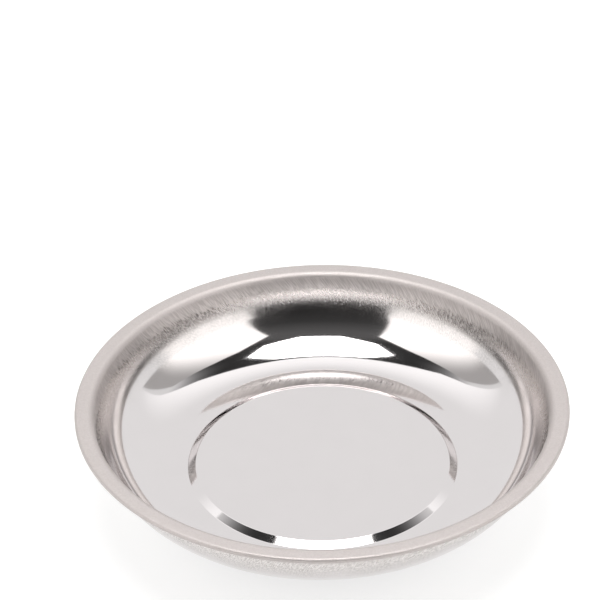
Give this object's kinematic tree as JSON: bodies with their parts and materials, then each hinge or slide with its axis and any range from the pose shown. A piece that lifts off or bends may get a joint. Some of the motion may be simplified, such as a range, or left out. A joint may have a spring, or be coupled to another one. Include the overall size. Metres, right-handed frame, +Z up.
{
  "type": "magnetic parts sorting tray",
  "caption": "Round pressed stainless tray with a flat turned-down rim, a curved wall and a raised seat over a rubber-covered ring magnet.",
  "frame": {"origin": "centre of the rubber base's underside, on the surface the tray stands on", "axes": "+Z up along the tray's axis; the tray is round, so +X and +Y are free, with -Y taken as the front"},
  "size_m": [0.15, 0.15, 0.0346],
  "materials": {
    "stainless": "etched flange, satin upper wall, mirror-polished lower wall and floor",
    "stud_steel": "copper-flashed weld steel, dull",
    "rubber": "moulded, matte with a faint sheen",
    "ferrite": "sintered and ground, dull dark grey",
    "zinc_steel": "bright zinc plate over pressed steel",
    "spring_steel": "zinc plate over hardened spring steel"
  },
  "bodies": {
    "root": {"dish": "stainless", "weld_stud": "stud_steel", "rubber_base": "rubber", "ring_magnet": "ferrite", "yoke_plate": "zinc_steel", "flat_washer": "zinc_steel", "spring_washer": "spring_steel", "hex_nut": "zinc_steel"}
  },
  "joints": []
}
